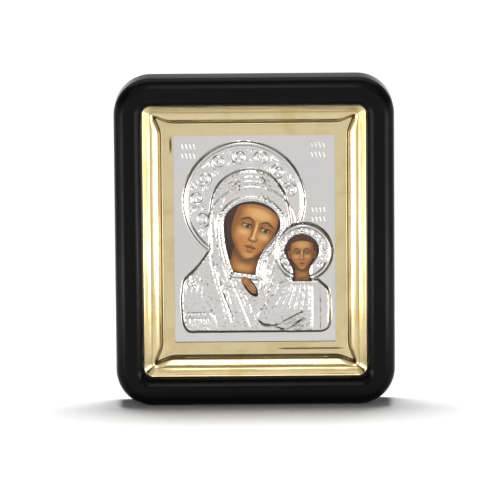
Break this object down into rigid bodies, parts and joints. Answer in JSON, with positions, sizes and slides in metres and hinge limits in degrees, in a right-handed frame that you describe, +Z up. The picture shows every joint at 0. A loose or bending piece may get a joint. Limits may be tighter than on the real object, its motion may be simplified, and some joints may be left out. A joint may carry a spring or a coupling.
{
  "type": "framed icon panel",
  "caption": "Small framed icon: black moulded frame, gilt stepped liner and a stamped silver relief cover with openings over a painted card",
  "frame": {"origin": "middle of the footprint, on the underside of the frame", "axes": "+X to the viewer's right, +Z up, the picture looks along -Y"},
  "size_m": [0.11, 0.02, 0.13],
  "materials": {
    "black_plastic": "semi-gloss moulded",
    "gilt_foil": "polished stamped foil",
    "silver_foil": "bright stamped foil, darkened in the recesses",
    "painted_card": "satin paint on card",
    "back_card": "matt dark card"
  },
  "bodies": {
    "root": {"frame": "black_plastic", "gilt_liner": "gilt_foil", "silver_cover": "silver_foil", "painted_card": "painted_card", "back_board": "back_card"}
  },
  "joints": []
}
